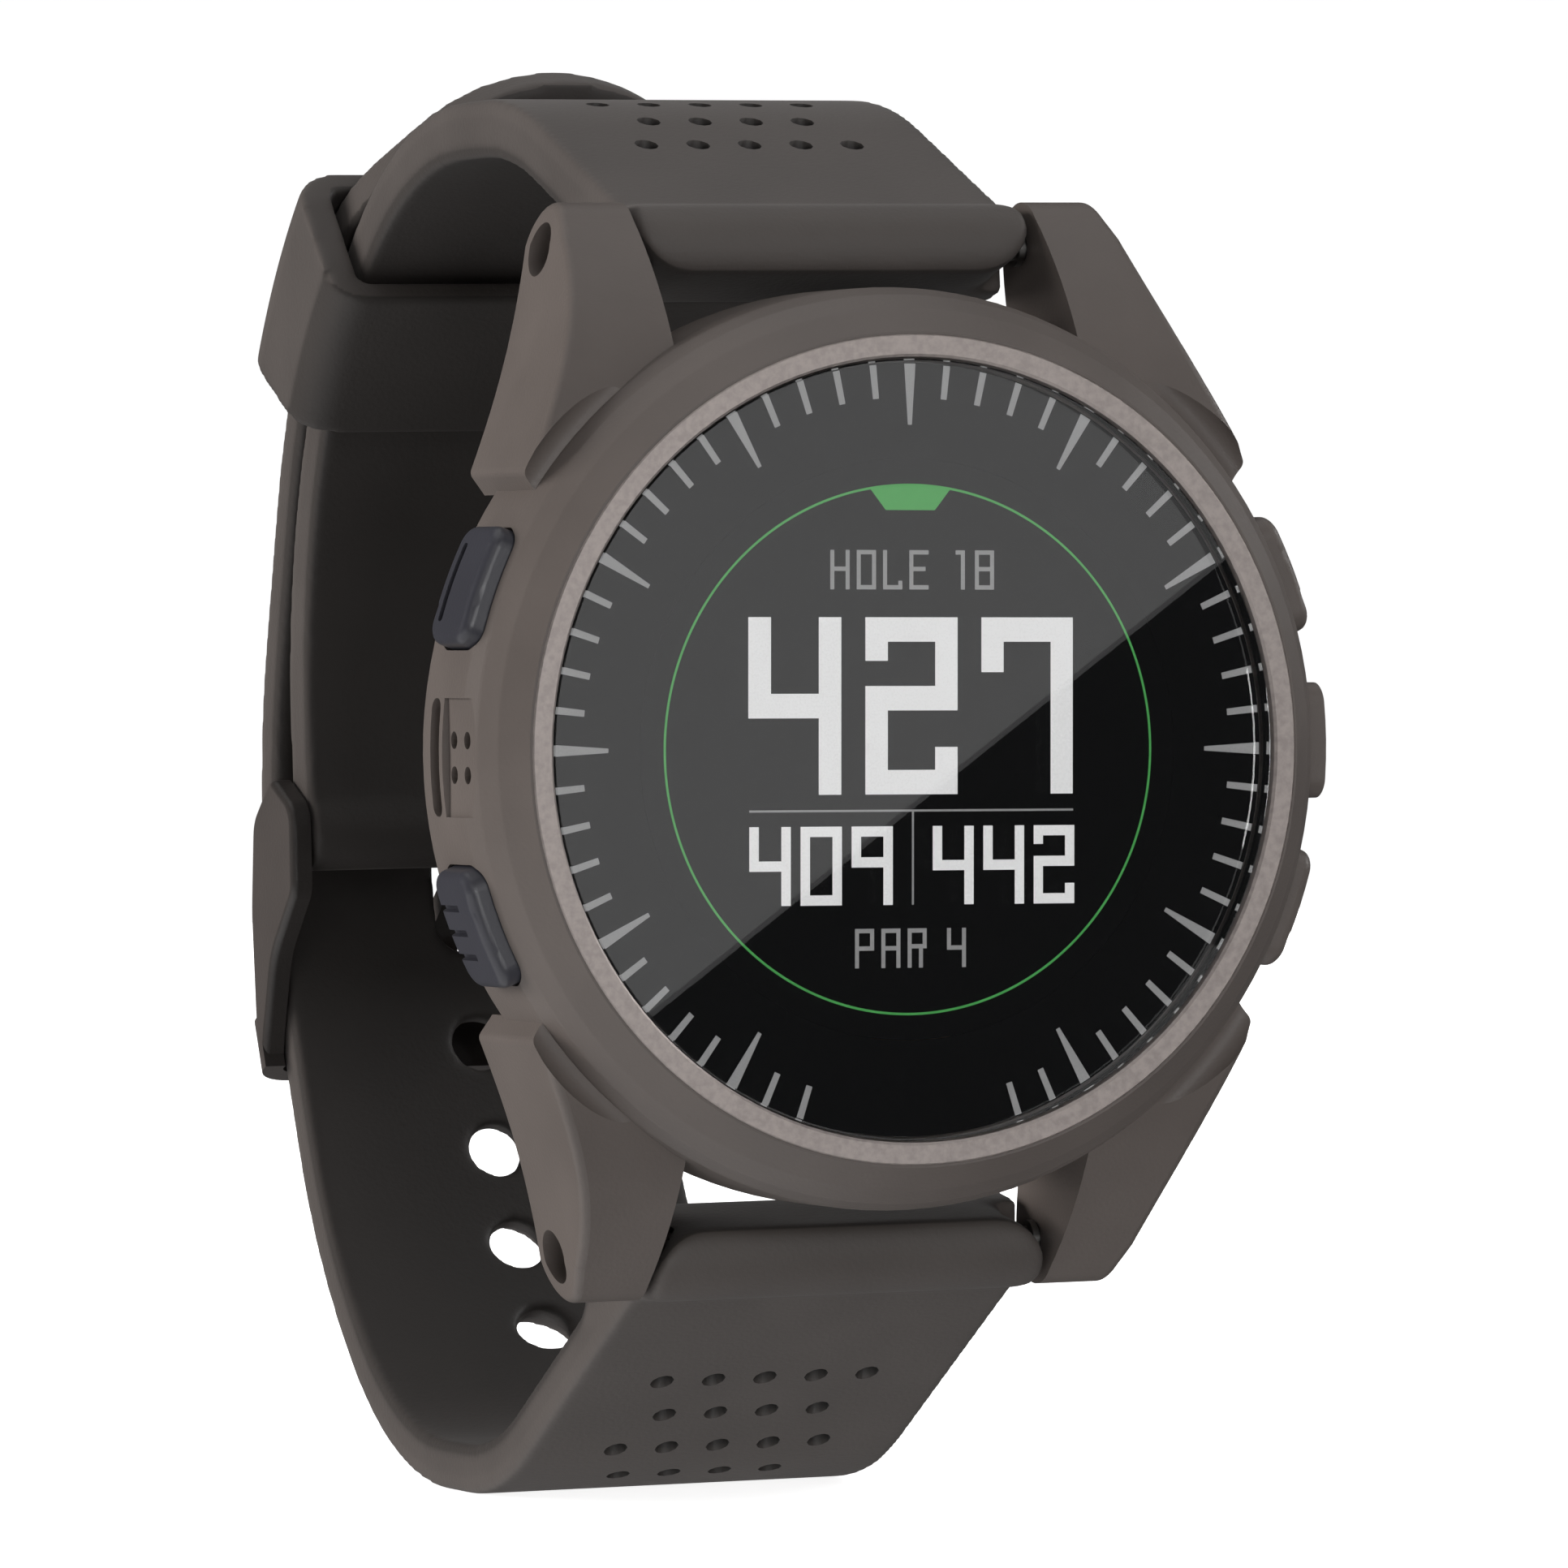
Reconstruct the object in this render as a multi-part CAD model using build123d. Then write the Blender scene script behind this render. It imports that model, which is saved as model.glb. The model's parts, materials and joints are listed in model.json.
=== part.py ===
from build123d import *
import os
from math import atan2, cos, degrees, radians, sin, sqrt

os.makedirs("parts", exist_ok=True)

# A golf GPS watch, buckled closed. The origin is the centre of the case back's outer face.
# The dial faces -Y, +X is 3 o'clock and +Z is 12 o'clock. Depths are counted from the
# front of the bezel towards the wrist, and CASE_DEPTH turns them into Y.

# ---- driving dimensions, in millimetres and degrees ----
CASE_DEPTH = 13.0
CASE_R = 21.2
CASE_BACK_R = 19.1
FLANK_END = 8.0
SHOULDER_R = 20.2
SHOULDER_DEPTH = 1.2
SHOULDER_END = 2.6
CAVITY_R = 17.2
LEDGE_R = 16.4
LEDGE_DEPTH = 2.15
LEDGE_END = 2.8
BACK_RECESS_R = 18.1
BACK_LEDGE = 11.7

BEZEL_OUT = 18.98
BEZEL_IN = 17.95
BEZEL_FLOOR = 1.75
BEZEL_EASE_IN = 0.12
BEZEL_EASE_OUT = 0.08
LENS_R = 17.85
LENS_TOP = 0.25
LENS_END = 1.65
LENS_EASE = 0.07
PRINT_END = 1.85
DISPLAY_R = 13.3

BAR_DEPTH = 10.57          # spring bar axis, behind the bezel's front
BAR_Z = 23.19
LUG_GAP = 20.28            # between the lugs, for a 20 mm strap
LUG_EASE = 0.45            # rounding of the lug edges
LUG_VALLEY_R = 1.0         # the hollow where a lug meets the flank
LUG_VALLEY_DEPTH = 2.3
LUG_HOLE_R = 0.70
LUG_SINK_R = 1.25
LUG_SINK_X = 12.2

BUTTON_ANGLE = 21.3        # above and below 9 o'clock and 3 o'clock
BUTTON_DEPTH = 4.9
BUTTON_TALL = 4.3
BUTTON_WIDE = 5.7
BUTTON_R = 22.0
BUTTON_TRAVEL = 0.5
BUTTON_PLAY = 0.12
POCKET_R = 18.0
STEM_R = 0.9
STEM_END = 16.4

CONTACT_DEPTHS = (3.3, 4.95)
CONTACT_Z = 0.79
CONTACT_R = 0.4
CONTACT_STEM_R = 0.27
PAD_FACE = 20.85
CONTACT_SINK = 0.6

SCREW_CIRCLE = 15.7

SEAL_R = 1.5               # rubber washer round each button stem
SEAL_T = 0.45
FRAME_OUT = 16.9           # inner frame that holds the board and display
FRAME_IN = 15.9
FRAME_REAR = 8.3
BOARD_FRONT = 4.6
BOARD_REAR = 5.4
CELL_R = 10.6
MOTOR_R = 3.7

TUBE_R = 0.9               # spring bar tube
TUBE_BORE = 0.62
TUBE_HALF = 8.4
TIP_IN = 6.6               # spring bar tip, from its inner end to its nose
TIP_COLLAR = 9.7
TIP_OUT = 11.3
TIP_R = 0.62

STRAP_W = 19.6
BARREL_W = 19.7
NOSE_CORNER = 2.5          # rounding of the strap end's lower corners, seen from the front
NOSE_TOP_CORNER = 0.8
UPPER_T = 2.8
LOWER_T = 2.4
UPPER_NOSE_R = 2.1         # the thick end round each spring bar, its front edge and its heel
UPPER_EDGE_Z = 22.05
UPPER_HEEL = [(13.4, 20.75), (15.5, 21.5), (18.5, 25.2)]
LOWER_NOSE_R = 2.3
LOWER_EDGE_Z = 22.1
LOWER_HEEL = [(13.4, 21.1), (15.5, 21.9), (18.5, 26.7)]
LAYER_GAP = 0.4
UPPER_SLOPE = 23.3         # rise of the upper strap as it leaves its spring bar
LOWER_SLOPE = 31.0
TOP_Z = 30.95              # outer surface of the strap over the wrist
BOTTOM_Z = -36.0
FLEX_DEPTH_TOP = 30.1      # where the strap bends as the loop sways
FLEX_DEPTH_BOTTOM = 35.0
FLEX_GAP = 0.3
PIN_DEPTH = 54.8
PIN_Z = -4.4
PIN_R = 0.7
PIN_BARREL_R = 2.0
HOLE_R = 1.4
HOLE_FLARE = 0.8           # the holes are wider on the outside of the strap
FLARE_DEPTH = 1.3
FIRST_HOLE = 43.6          # along the lower strap from its spring bar
HOLE_PITCH = 5.8
HOLES_BELOW = 4
TONGUE_SLOT = 69.3         # the hole in use, pulled long by the tongue
SLOT_STRETCH = 1.55
HOLES_ABOVE = 3
TIP_ANGLE = 106.0          # direction of the tail's free end
TIP_LENGTH = 3.3
TIP_ROUNDING = 9.5

ARC_CENTRE = (28.1, 3.8)   # depth and Z; the keeper slides on this arc of the upper strap
ARC_R = 28.3
ARC_LOW = 15.0             # ends of the arc, above the +Y axis
ARC_HIGH = 52.0
KEEPER_MIDDLE = 38.9
KEEPER_HALF = 10.0
KEEPER_W = 23.6
KEEPER_PLAY = 0.3          # between the keeper and the strap's edges
KEEPER_SLACK = 0.35        # under the inner layer
KEEPER_INNER_WALL = 1.25
KEEPER_OUTER_WALL = 1.1

BAR_CENTRE = (59.37, -15.55)  # the buckle's cross bar
BAR_TILT = 68.0
BAR_T = 1.3
BAR_TALL = 2.7
FRAME_HALF = 11.0
FRAME_GAP_HALF = 9.95
FRAME_CORNER = 2.0         # where the cross bar bends round into the arms
PIN_HALF = 10.55           # the pin ends inside the arms
TONGUE_W = 1.6
TONGUE_T = 1.1


def y_of(depth):
    return depth - CASE_DEPTH


def disc(radius, start, end):
    """A cylinder on the case's axis between two depths."""
    body = Rot(-90, 0, 0) * Cylinder(radius, end - start)
    return Pos(0, y_of((start + end) / 2), 0) * body


def ring(inner, outer, start, end):
    return disc(outer, start, end) - disc(inner, start - 0.1, end + 0.1)


def block(x_span, depth_span, z_span):
    """A box given by its limits in X, depth and Z."""
    size = [high - low for low, high in (x_span, depth_span, z_span)]
    middle = [(high + low) / 2 for low, high in (x_span, depth_span, z_span)]
    return Pos(middle[0], y_of(middle[1]), middle[2]) * Box(*size)


def rod(radius, x_start, x_end, depth, z):
    """A cylinder along X."""
    body = Rot(0, 90, 0) * Cylinder(radius, x_end - x_start)
    return Pos((x_start + x_end) / 2, y_of(depth), z) * body


def side_profile(face, width, x_middle=0.0):
    """Extrude a face drawn in (Y, Z) to a width along X."""
    return Pos(x_middle, 0, 0) * extrude(Plane.YZ * face, width / 2, both=True)


def around(shape, angle):
    """Turn a shape made at 3 o'clock to an angle above 3 o'clock."""
    return Rot(0, -angle, 0) * shape


def one(shape):
    """The single solid of a result."""
    return shape.solids()[0]


# ---- strap paths, as corner points in (depth, z) with the radius of each corner ----
def unit(angle):
    return cos(radians(angle)), sin(radians(angle))


def crossing(point_a, angle_a, point_b, angle_b):
    """Where a line through point_a meets a line through point_b."""
    ax, az = unit(angle_a)
    bx, bz = unit(angle_b)
    dx, dz = point_b[0] - point_a[0], point_b[1] - point_a[1]
    run = (dx * bz - dz * bx) / (ax * bz - az * bx)
    return point_a[0] + run * ax, point_a[1] + run * az


def shifted(point, angle, distance):
    """A point moved square to a direction, to its left."""
    ux, uz = unit(angle)
    return point[0] - distance * uz, point[1] + distance * ux


class Path:
    """A strap surface: straight runs at given angles, joined by tangent arcs."""

    def __init__(self, start, angles, anchors, radii, end):
        self.start, self.angles, self.anchors, self.radii, self.end = start, angles, anchors, radii, end

    def offset(self, distance):
        """The parallel path, to the left of the direction of travel."""
        radii = []
        for before, after, radius in zip(self.angles, self.angles[1:], self.radii):
            grows = -1 if after > before else 1
            radii.append(radius + grows * distance)
        return Path(
            shifted(self.start, self.angles[0], distance),
            self.angles,
            [shifted(p, a, distance) for p, a in zip(self.anchors, self.angles)],
            radii,
            shifted(self.end, self.angles[-1], distance),
        )

    def corners(self):
        points = []
        for i in range(len(self.angles) - 1):
            points.append(crossing(self.anchors[i], self.angles[i], self.anchors[i + 1], self.angles[i + 1]))
        return points

    def wire(self):
        points = [(y_of(d), z) for d, z in [self.start, *self.corners(), self.end]]
        return FilletPolyline(*points, radius=self.radii)


def band(path, thickness):
    """The side view of a strap between a path and its parallel, thickness to the left."""
    near = path.wire()
    far = path.offset(thickness).wire()
    ends = [Line(near @ 1, far @ 1), Line(far @ 0, near @ 0)]
    return make_face([*near.edges(), ends[0], *far.edges(), ends[1]])


def on_arc(polar, radius=ARC_R):
    ux, uz = unit(polar)
    return ARC_CENTRE[0] + radius * ux, ARC_CENTRE[1] + radius * uz


ARC_FILLET = ARC_R - 0.15
BACK_ANGLE = -95.0
UPPER_START = shifted((BAR_DEPTH, BAR_Z), UPPER_SLOPE, UPPER_T / 2)
ARC_FOOT = on_arc(ARC_LOW)
UPPER_OUTER = Path(
    UPPER_START,
    [UPPER_SLOPE, 0.0, ARC_HIGH - 90, ARC_LOW - 90, BACK_ANGLE],
    [UPPER_START, (FLEX_DEPTH_TOP, TOP_Z), on_arc(ARC_HIGH), ARC_FOOT, (PIN_DEPTH + UPPER_T / 2, PIN_Z)],
    [20.0, 22.4, ARC_FILLET, 33.0],
    (PIN_DEPTH + UPPER_T / 2, PIN_Z),
)

LOWER_START = shifted((BAR_DEPTH, -BAR_Z), -LOWER_SLOPE, -LOWER_T / 2)
TAIL_R = ARC_R + LAYER_GAP + LOWER_T
TAIL_EXIT = on_arc(ARC_HIGH, TAIL_R)
TIP_TURN = (TAIL_EXIT[0] - 2.6 * cos(radians(ARC_HIGH - 90)), TAIL_EXIT[1] - 2.6 * sin(radians(ARC_HIGH - 90)))
LOWER_OUTER = Path(
    LOWER_START,
    [-LOWER_SLOPE, 0.0, 45.0, 68.0, 90 + ARC_LOW, 90 + ARC_HIGH, TIP_ANGLE],
    [LOWER_START, (FLEX_DEPTH_BOTTOM, BOTTOM_Z), (49.5, -30.5), (57.1, -18.7), on_arc(ARC_LOW, TAIL_R), TAIL_EXIT,
     TIP_TURN],
    [16.0, 18.3, 28.0, 31.0, ARC_FILLET + LAYER_GAP + LOWER_T, 5.0],
    (TIP_TURN[0] + TIP_LENGTH * unit(TIP_ANGLE)[0], TIP_TURN[1] + TIP_LENGTH * unit(TIP_ANGLE)[1]),
)


def bent_strip(points, radii, thickness):
    """The side view of a bent metal strip whose middle runs through the points."""
    angles = [degrees(atan2(b[1] - a[1], b[0] - a[0])) for a, b in zip(points, points[1:])]
    middle = Path(points[0], angles, points[:-1], radii, points[-1])
    return band(middle.offset(-thickness / 2), thickness)


# ---- case ----
def case_outer():
    """The turned outside of the case, and the hollow inside it."""
    back_y = y_of(CASE_DEPTH)
    points = [
        (0, y_of(0.05)),
        (BEZEL_OUT + 0.12, y_of(0.05)),
        (SHOULDER_R, y_of(SHOULDER_DEPTH)),
        (CASE_R - 0.35, y_of(SHOULDER_END - 0.4)),
        (CASE_R, y_of(SHOULDER_END + 0.6)),
        (CASE_R, y_of(FLANK_END)),
        (CASE_BACK_R + 0.5, y_of(CASE_DEPTH - 0.8)),
        (CASE_BACK_R, back_y),
        (0, back_y),
    ]
    profile = make_face(Polyline(*points, close=True))
    softened = [v for v in profile.vertices() if v.X > SHOULDER_R - 0.01]
    return revolve(fillet(softened[:4], 0.7), Axis.Y)


def lug():
    """The upper lug on the 3 o'clock side, with its spring bar hole."""
    inner_x = LUG_GAP / 2
    outer = Spline((14.1, 23.4), (15.1, 19.6), (16.6, 16.0), (18.0, 12.9))
    rim = [Line(outer @ 1, (17.3, 11.9)), Polyline((17.3, 11.9), (15.0, 12.0), (inner_x, 15.8), (inner_x, 25.6))]
    tip = Polyline((inner_x, 25.6), (13.4, 25.6), outer @ 0)
    plan = make_face([*outer.edges(), *rim[0].edges(), *rim[1].edges(), *tip.edges()])
    tall = Pos(0, y_of(0), 0) * extrude(Plane.XZ * plan, -CASE_DEPTH)

    front = Spline((1.9, 11.0), (3.0, 15.9), (4.3, 18.9), (6.1, 21.6), (8.95, 24.6))
    nose = ThreePointArc((8.95, 24.6), (10.9, 25.33), (12.72, 23.2))
    rear = Spline((12.72, 23.2), (12.1, 19.5), (10.8, 15.5), (10.2, 11.0))
    side = make_face([*front.edges(), *nose.edges(), *rear.edges(), *Line(rear @ 1, front @ 0).edges()])
    wide = side_profile(Pos(y_of(0), 0) * side, 60)
    body = one(tall & wide)
    sharp = body.edges().filter_by(lambda e: e.center().X > inner_x + 0.2 and e.center().Z > 12.2)
    valley = Pos(0, y_of(LUG_VALLEY_DEPTH), 0) * Rot(90, 0, 0) * Torus(CASE_R + 0.3, LUG_VALLEY_R)
    return one(fillet(sharp, LUG_EASE) - valley)


def lug_holes():
    """Spring bar holes through all the lugs, sunk from outside for the strap tool."""
    shape = None
    for z in (BAR_Z, -BAR_Z):
        through = rod(LUG_HOLE_R, -16, 16, BAR_DEPTH, z)
        sinks = rod(LUG_SINK_R, LUG_SINK_X, 17, BAR_DEPTH, z) + rod(LUG_SINK_R, -17, -LUG_SINK_X, BAR_DEPTH, z)
        shape = through + sinks if shape is None else shape + through + sinks
    return shape


def button_angles():
    return {
        "upper_left": 180 - BUTTON_ANGLE,
        "lower_left": 180 + BUTTON_ANGLE,
        "upper_right": BUTTON_ANGLE,
        "lower_right": -BUTTON_ANGLE,
    }


def button_pocket():
    """The pocket for one button, with its stem hole and the seat of its seal, at 3 o'clock."""
    half_tall = BUTTON_TALL / 2 + BUTTON_PLAY
    half_wide = BUTTON_WIDE / 2 + BUTTON_PLAY
    pocket = block(
        (POCKET_R, CASE_R + 2),
        (BUTTON_DEPTH - half_tall, BUTTON_DEPTH + half_tall),
        (-half_wide, half_wide),
    )
    pocket = fillet(pocket.edges().filter_by(Axis.X), 1.1)
    stem_hole = rod(STEM_R + 0.06, CAVITY_R - 1, POCKET_R + 0.1, BUTTON_DEPTH, 0)
    seal_seat = rod(SEAL_R, POCKET_R - SEAL_T, POCKET_R + 0.1, BUTTON_DEPTH, 0)
    return pocket + stem_hole + seal_seat


def screw_places():
    reach = SCREW_CIRCLE * sin(radians(45))
    return [(sx * reach, sz * reach) for sx in (1, -1) for sz in (1, -1)]


def pin_along_y(radius, start, end, x, z):
    return Pos(x, 0, z) * disc(radius, start, end)


def case_shell():
    body = case_outer()
    quarter = lug()
    for shape in (quarter, mirror(quarter, Plane.YZ), mirror(quarter, Plane.XY)):
        body += shape
    body += mirror(mirror(quarter, Plane.YZ), Plane.XY)
    pad = block((CASE_R - 2, CASE_R + 2), (2.9, 7.3), (-2.7, 2.7)) & disc(CASE_R + 0.75, 0, CASE_DEPTH)
    pad = fillet(pad.edges().filter_by(Axis.X), 0.9)
    body += pad
    body -= disc(CAVITY_R, LEDGE_END, CASE_DEPTH + 1)
    for x, z in screw_places():
        boss = pin_along_y(1.6, 8.6, 10.7, x, z) & disc(CAVITY_R + 0.5, 0, CASE_DEPTH)
        body += boss
        body -= pin_along_y(0.7, 8.9, 11.0, x, z)
    body -= disc(BACK_RECESS_R, BACK_LEDGE, CASE_DEPTH + 1)
    body -= disc(LEDGE_R, -1, LEDGE_END + 0.1)
    body -= disc(BEZEL_IN, -1, LEDGE_DEPTH)
    body -= disc(BEZEL_OUT, -1, BEZEL_FLOOR)
    for angle in button_angles().values():
        body -= around(button_pocket(), angle)
    body -= lug_holes()
    body -= block((-CASE_R - 1, -PAD_FACE), (2.15, 5.6), (-2.7, 2.7))
    body -= fillet(block((-CASE_R - 1, -CASE_R + 1.2), (6.0, 7.1), (-2.7, 2.7)).edges().filter_by(Axis.X), 0.5)
    for depth, z in contact_places():
        body -= rod(CONTACT_R, -CASE_R - 1, -CAVITY_R + 2, depth, z)
    return one(body)


def contact_places():
    return [(depth, z) for depth in CONTACT_DEPTHS for z in (-CONTACT_Z, CONTACT_Z)]


def bezel_ring():
    profile = Polyline(
        (BEZEL_IN, y_of(BEZEL_EASE_IN)),
        (BEZEL_IN + BEZEL_EASE_IN, y_of(0.0)),
        (BEZEL_OUT - BEZEL_EASE_OUT, y_of(0.0)),
        (BEZEL_OUT, y_of(BEZEL_EASE_OUT)),
        (BEZEL_OUT, y_of(BEZEL_FLOOR)),
        (BEZEL_IN, y_of(BEZEL_FLOOR)),
        close=True,
    )
    return one(revolve(make_face(profile), Axis.Y))


def lens():
    body = disc(LENS_R, LENS_TOP, LENS_END)
    front_rim = body.edges().sort_by(Axis.Y)[0]
    return one(chamfer(front_rim, LENS_EASE))


def printed_mask():
    return ring(DISPLAY_R + 0.1, LENS_R - 0.15, LENS_END, PRINT_END)


def lens_gasket():
    return ring(LEDGE_R + 0.1, LENS_R - 0.15, PRINT_END, LEDGE_DEPTH)


def display_panel():
    body = disc(DISPLAY_R, LENS_END + 0.05, 3.6)
    return one(body - block((-4, 4), (3.0, 4.0), (-DISPLAY_R - 1, -DISPLAY_R + 0.9)))


def edge_notches(inner):
    """Room at the edge for the button switches and the charging contacts."""
    shape = block((-FRAME_OUT - 1, -inner), (2, 12), (-2.7, 2.7))
    for angle in button_angles().values():
        shape += around(block((inner - 0.2, FRAME_OUT + 1), (2, 12), (-2.1, 2.1)), angle)
    return shape


def inner_frame():
    body = ring(FRAME_IN, FRAME_OUT, 3.5, FRAME_REAR) + disc(FRAME_IN + 0.1, 3.7, BOARD_FRONT - 0.15)
    body -= block((-4, 4), (3, 5), (-15.4, -12.6))
    body -= edge_notches(14.4)
    return one(body)


def main_board():
    body = disc(FRAME_IN - 0.1, BOARD_FRONT, BOARD_REAR) - block((-4, 4), (4, 6), (-FRAME_OUT, -13.6))
    can = (BOARD_REAR, BOARD_REAR + 0.45)
    shields = block((-11.5, -5.0), can, (4.5, 9.8)) + block((5.0, 11.5), can, (5.5, 9.8))
    return one(body + shields - edge_notches(14.4))


def display_ribbon():
    """The flat cable from the display's edge round to the back of the board."""
    points = [(3.3, -12.6), (3.3, -14.5), (5.65, -14.5), (5.65, -12.6)]
    strip = bent_strip([(d, z) for d, z in points], [0.5, 0.5], 0.16)
    return one(side_profile(strip, 5.0))


def gps_antenna():
    """An open metal ring round the display, on the rim of the inner frame."""
    body = ring(14.3, FRAME_OUT - 0.2, 2.95, 3.35)
    return one(body - block((-3, 3), (2, 5), (-18, -13)) - block((-18, -14.8), (2, 5), (-2.7, 2.7)))


def battery_cell():
    body = Pos(0, 0, -3.4) * disc(CELL_R, BOARD_REAR + 0.55, 10.4)
    return one(fillet(body.edges(), 0.8))


def vibration_motor():
    body = Pos(0, 0, 11.5) * disc(MOTOR_R, BOARD_REAR + 0.5, 8.6)
    return one(fillet(body.edges().sort_by(Axis.Y)[-1], 0.3))


def contact_block():
    body = block((-17.0, -15.3), (2.9, 6.0), (-2.3, 2.3))
    for depth, z in contact_places():
        body -= rod(CONTACT_STEM_R, -18, -15, depth, z)
    return one(body)


def charge_contacts():
    """Four gold pins, each with a wide head in the case wall and a thin stem in the contact block."""
    pins = []
    for depth, z in contact_places():
        head = rod(CONTACT_R, -PAD_FACE + CONTACT_SINK, -CAVITY_R, depth, z)
        stem = rod(CONTACT_STEM_R, -CAVITY_R - 0.1, -15.0, depth, z)
        pins.append(one(head + stem))
    return Compound(pins)


def case_back():
    body = disc(BACK_RECESS_R - 0.1, 12.0, CASE_DEPTH) + disc(CAVITY_R - 0.1, 10.9, 12.0)
    body = chamfer(body.edges().sort_by(Axis.Y)[-1], 0.25)
    for x, z in screw_places():
        body -= pin_along_y(0.75, 10, 14, x, z)
        body -= pin_along_y(1.35, 12.1, 14, x, z)
    return one(body)


def back_gasket():
    return ring(CAVITY_R + 0.1, BACK_RECESS_R - 0.15, BACK_LEDGE, 12.0)


def case_screws():
    screws = []
    for x, z in screw_places():
        screw = pin_along_y(1.25, 12.1, 12.85, x, z) + pin_along_y(0.7, 9.1, 12.2, x, z)
        slot = Pos(x, y_of(12.85), z) * Box(2.6, 0.5, 0.3)
        screws.append(one(screw - slot))
    return Compound(screws)


# ---- buttons ----
def button(lengthwise_slot):
    """A cap on a stem, made at 3 o'clock; the cap is slotted or cross-notched."""
    cap = block(
        (POCKET_R + BUTTON_TRAVEL + 0.1, BUTTON_R + 1),
        (BUTTON_DEPTH - BUTTON_TALL / 2, BUTTON_DEPTH + BUTTON_TALL / 2),
        (-BUTTON_WIDE / 2, BUTTON_WIDE / 2),
    )
    cap = fillet(cap.edges().filter_by(Axis.X), 1.0) & disc(BUTTON_R, 0, CASE_DEPTH)
    crown = cap.faces().sort_by(Axis.X)[-1]
    cap = fillet(crown.edges(), 0.5)
    if lengthwise_slot:
        groove = block((BUTTON_R - 0.45, BUTTON_R + 1), (BUTTON_DEPTH + 0.75, BUTTON_DEPTH + 1.25), (-1.9, 1.9))
        cap -= fillet(groove.edges().filter_by(Axis.X), 0.2)
    else:
        for z in (-1.2, 0.0, 1.2):
            cap -= block((BUTTON_R - 0.35, BUTTON_R + 1), (BUTTON_DEPTH - 0.3, BUTTON_DEPTH + 2.4), (z - 0.16, z + 0.16))
    stem = rod(STEM_R, STEM_END, POCKET_R + BUTTON_TRAVEL + 0.2, BUTTON_DEPTH, 0)
    return one(cap + stem)


def button_clip():
    """The open ring that keeps the stem in the wall."""
    body = rod(1.5, 16.7, 17.0, BUTTON_DEPTH, 0) - rod(STEM_R, 16, 18, BUTTON_DEPTH, 0)
    return one(body - block((16, 18), (BUTTON_DEPTH, BUTTON_DEPTH + 3), (-0.5, 0.5)))


def button_seals():
    seals = []
    for angle in button_angles().values():
        seal = rod(SEAL_R, POCKET_R - SEAL_T, POCKET_R, BUTTON_DEPTH, 0)
        seal -= rod(STEM_R + 0.05, POCKET_R - 1, POCKET_R + 1, BUTTON_DEPTH, 0)
        seals.append(one(around(seal, angle)))
    return Compound(seals)


def button_switches():
    switches = []
    for angle in button_angles().values():
        switch = block((14.4, 15.8), (3.6, 5.3), (-1.6, 1.6))
        switches.append(one(around(switch, angle)))
    return Compound(switches)


# ---- spring bars ----
def spring_bar_tube(z):
    return rod(TUBE_R, -TUBE_HALF, TUBE_HALF, BAR_DEPTH, z) - rod(TUBE_BORE, -TUBE_HALF, TUBE_HALF, BAR_DEPTH, z)


def spring_bar_coil(z):
    """The helical spring between the tips, drawn at its pressed length."""
    turns = 12
    half = 4.4
    path = Helix(2 * half / turns, 2 * half, 0.4)
    section = Plane(origin=path @ 0, z_dir=path % 0) * Circle(0.11)
    coil = sweep(section, path)
    return one(Pos(0, y_of(BAR_DEPTH), z) * Rot(0, 90, 0) * Pos(0, 0, -half) * coil)


def spring_bar_tip(z, side):
    shank = rod(TUBE_BORE - 0.05, TIP_IN, TIP_COLLAR + 0.1, BAR_DEPTH, z)
    collar = rod(TUBE_R - 0.05, TIP_COLLAR, TIP_COLLAR + 0.3, BAR_DEPTH, z)
    nose = rod(TIP_R, TIP_COLLAR + 0.2, TIP_OUT, BAR_DEPTH, z)
    tip = one(shank + collar + nose)
    return tip if side > 0 else mirror(tip, Plane.YZ)


# ---- strap ----
def strap_nose(strap, nose_r, edge_z, heel, bore):
    """Give a strap, seen at 12 o'clock, its thick end round the spring bar, with a heel behind."""
    edge = (BAR_DEPTH - sqrt(nose_r**2 - (BAR_Z - edge_z) ** 2), edge_z)
    crown_z = BAR_Z + nose_r
    crown_end = BAR_DEPTH + 1.4
    outline = [edge, *heel, (crown_end, crown_z), (BAR_DEPTH, crown_z)]
    below = [edge, heel[0], (heel[0][0], edge_z - 4), (edge[0], edge_z - 4)]
    roll = Pos(y_of(BAR_DEPTH), BAR_Z) * Circle(nose_r)
    side = roll + make_face(Polyline(*[(y_of(d), z) for d, z in outline], close=True))
    side -= make_face(Polyline(*[(y_of(d), z) for d, z in below], close=True))
    body = strap + side_profile(side, BARREL_W)
    fall = (heel[0][0] - edge[0], heel[0][1] - edge[1])
    reach = sqrt(fall[0] ** 2 + fall[1] ** 2)
    underside = Plane(
        origin=(0, y_of(edge[0]), edge[1]),
        x_dir=(1, 0, 0),
        z_dir=(0, fall[0] / reach, fall[1] / reach),
    )
    crown = Plane(origin=(0, y_of(BAR_DEPTH - nose_r), crown_z), x_dir=(1, 0, 0), z_dir=(0, 1, 0))
    for side_x in (1, -1):
        low = corner_waste(side_x, -1, NOSE_CORNER)
        high = corner_waste(side_x, 1, NOSE_TOP_CORNER)
        body -= extrude(underside * low, 3.1) + extrude(underside * low, -1.0)
        body -= extrude(crown * high, nose_r + 1.4)
    return body - rod(bore, -11, 11, BAR_DEPTH, BAR_Z)


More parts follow.
